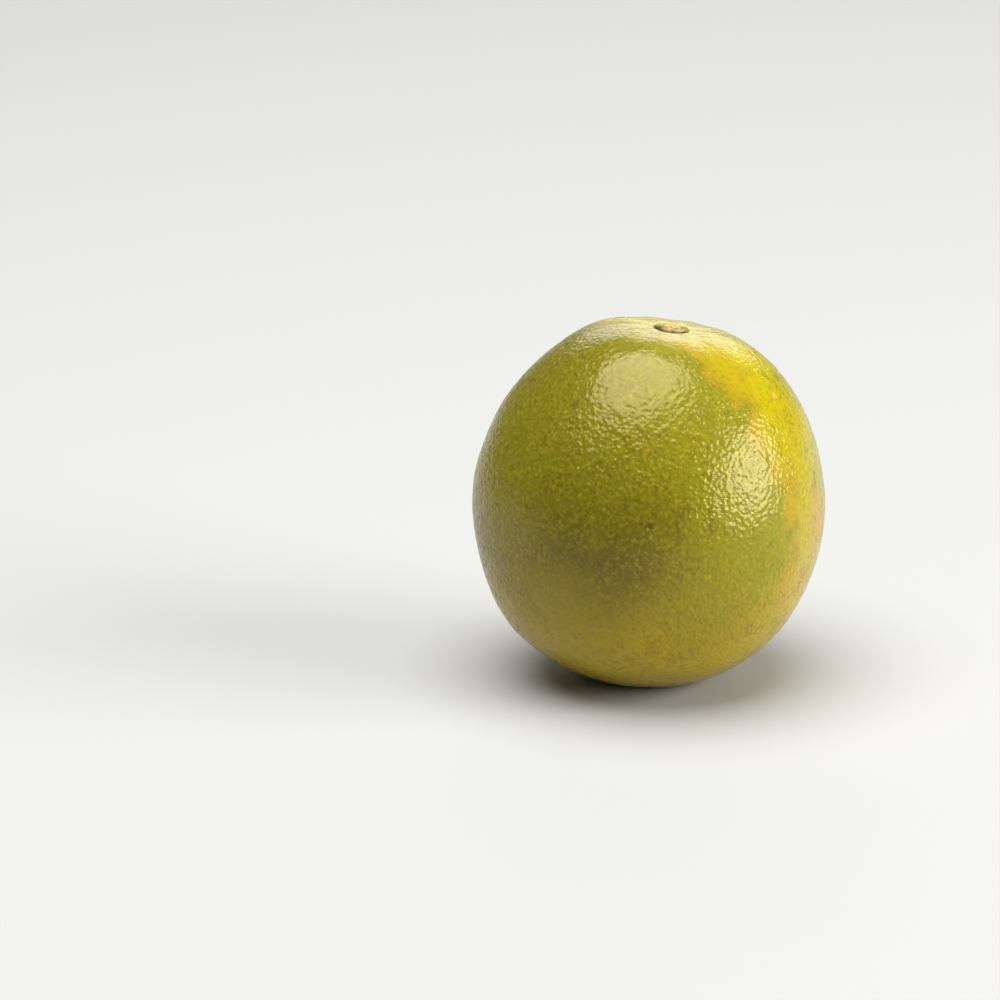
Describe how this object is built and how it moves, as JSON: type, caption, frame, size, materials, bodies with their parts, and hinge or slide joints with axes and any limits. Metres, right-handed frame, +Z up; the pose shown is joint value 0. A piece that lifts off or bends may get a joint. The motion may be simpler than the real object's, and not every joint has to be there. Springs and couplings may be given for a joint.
{
  "type": "pera orange fruit",
  "caption": "Whole ripening pera orange, a round citrus fruit a little taller than wide, with a dried calyx in its stem end and a small flat spot to rest on.",
  "frame": {"origin": "on the surface that the fruit rests on, under the middle of its bounding box", "axes": "+Z up, along the fruit's height; its own axis leans from +Z towards +X by seven degrees; -Y is the side in the picture"},
  "size_m": [0.0682, 0.068, 0.0705],
  "materials": {
    "peel": "fresh citrus peel, waxy and finely pitted with oil glands, olive green blushing to orange yellow",
    "dried_calyx": "dry, matt and fibrous"
  },
  "bodies": {
    "root": {"fruit": "peel", "calyx": "dried_calyx"}
  },
  "joints": []
}
